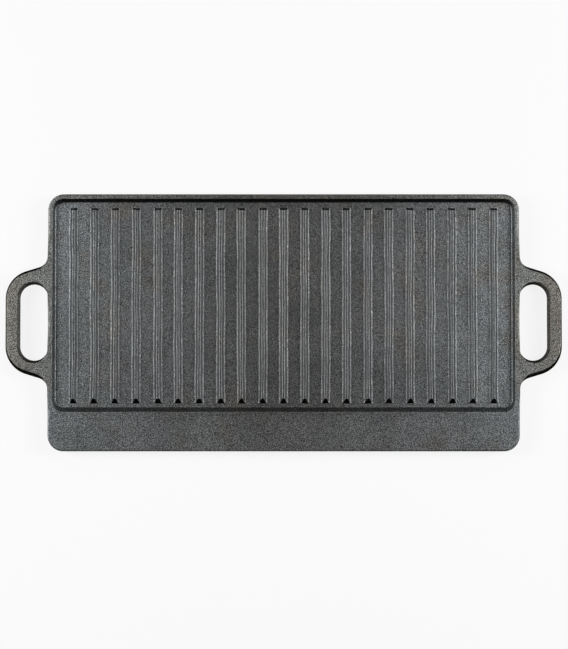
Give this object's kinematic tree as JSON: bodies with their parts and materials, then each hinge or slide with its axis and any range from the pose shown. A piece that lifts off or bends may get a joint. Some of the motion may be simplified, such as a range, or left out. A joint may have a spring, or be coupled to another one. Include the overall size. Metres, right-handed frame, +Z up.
{
  "type": "griddle plate",
  "caption": "Reversible rectangular cast-iron griddle plate: a shallow rimmed pan with parallel ribs, a flat front apron over a drip trough, and a looped handle at each end.",
  "frame": {"origin": "under the middle of the plate, on the surface that it stands on", "axes": "+X from handle to handle, +Y from the front apron to the rear rim, +Z up, ribbed side up"},
  "size_m": [0.5, 0.231, 0.015],
  "materials": {
    "pan_iron": "sand-cast, seasoned with oil, dull sheen",
    "rim_iron": "sand-cast, seasoned with oil, edges rubbed a little paler and browner"
  },
  "bodies": {
    "root": {"deck": "pan_iron", "trough_wall": "pan_iron", "front_apron": "pan_iron", "front_foot": "pan_iron", "rear_rim": "rim_iron", "left_rim": "rim_iron", "right_rim": "rim_iron", "left_handle": "rim_iron", "right_handle": "rim_iron", "rib_01": "pan_iron", "rib_02": "pan_iron", "rib_03": "pan_iron", "rib_04": "pan_iron", "rib_05": "pan_iron", "rib_06": "pan_iron", "rib_07": "pan_iron", "rib_08": "pan_iron", "rib_09": "pan_iron", "rib_10": "pan_iron", "rib_11": "pan_iron", "rib_12": "pan_iron", "rib_13": "pan_iron", "rib_14": "pan_iron", "rib_15": "pan_iron", "rib_16": "pan_iron", "rib_17": "pan_iron", "rib_18": "pan_iron", "rib_19": "pan_iron", "rib_20": "pan_iron", "rib_21": "pan_iron"}
  },
  "joints": []
}
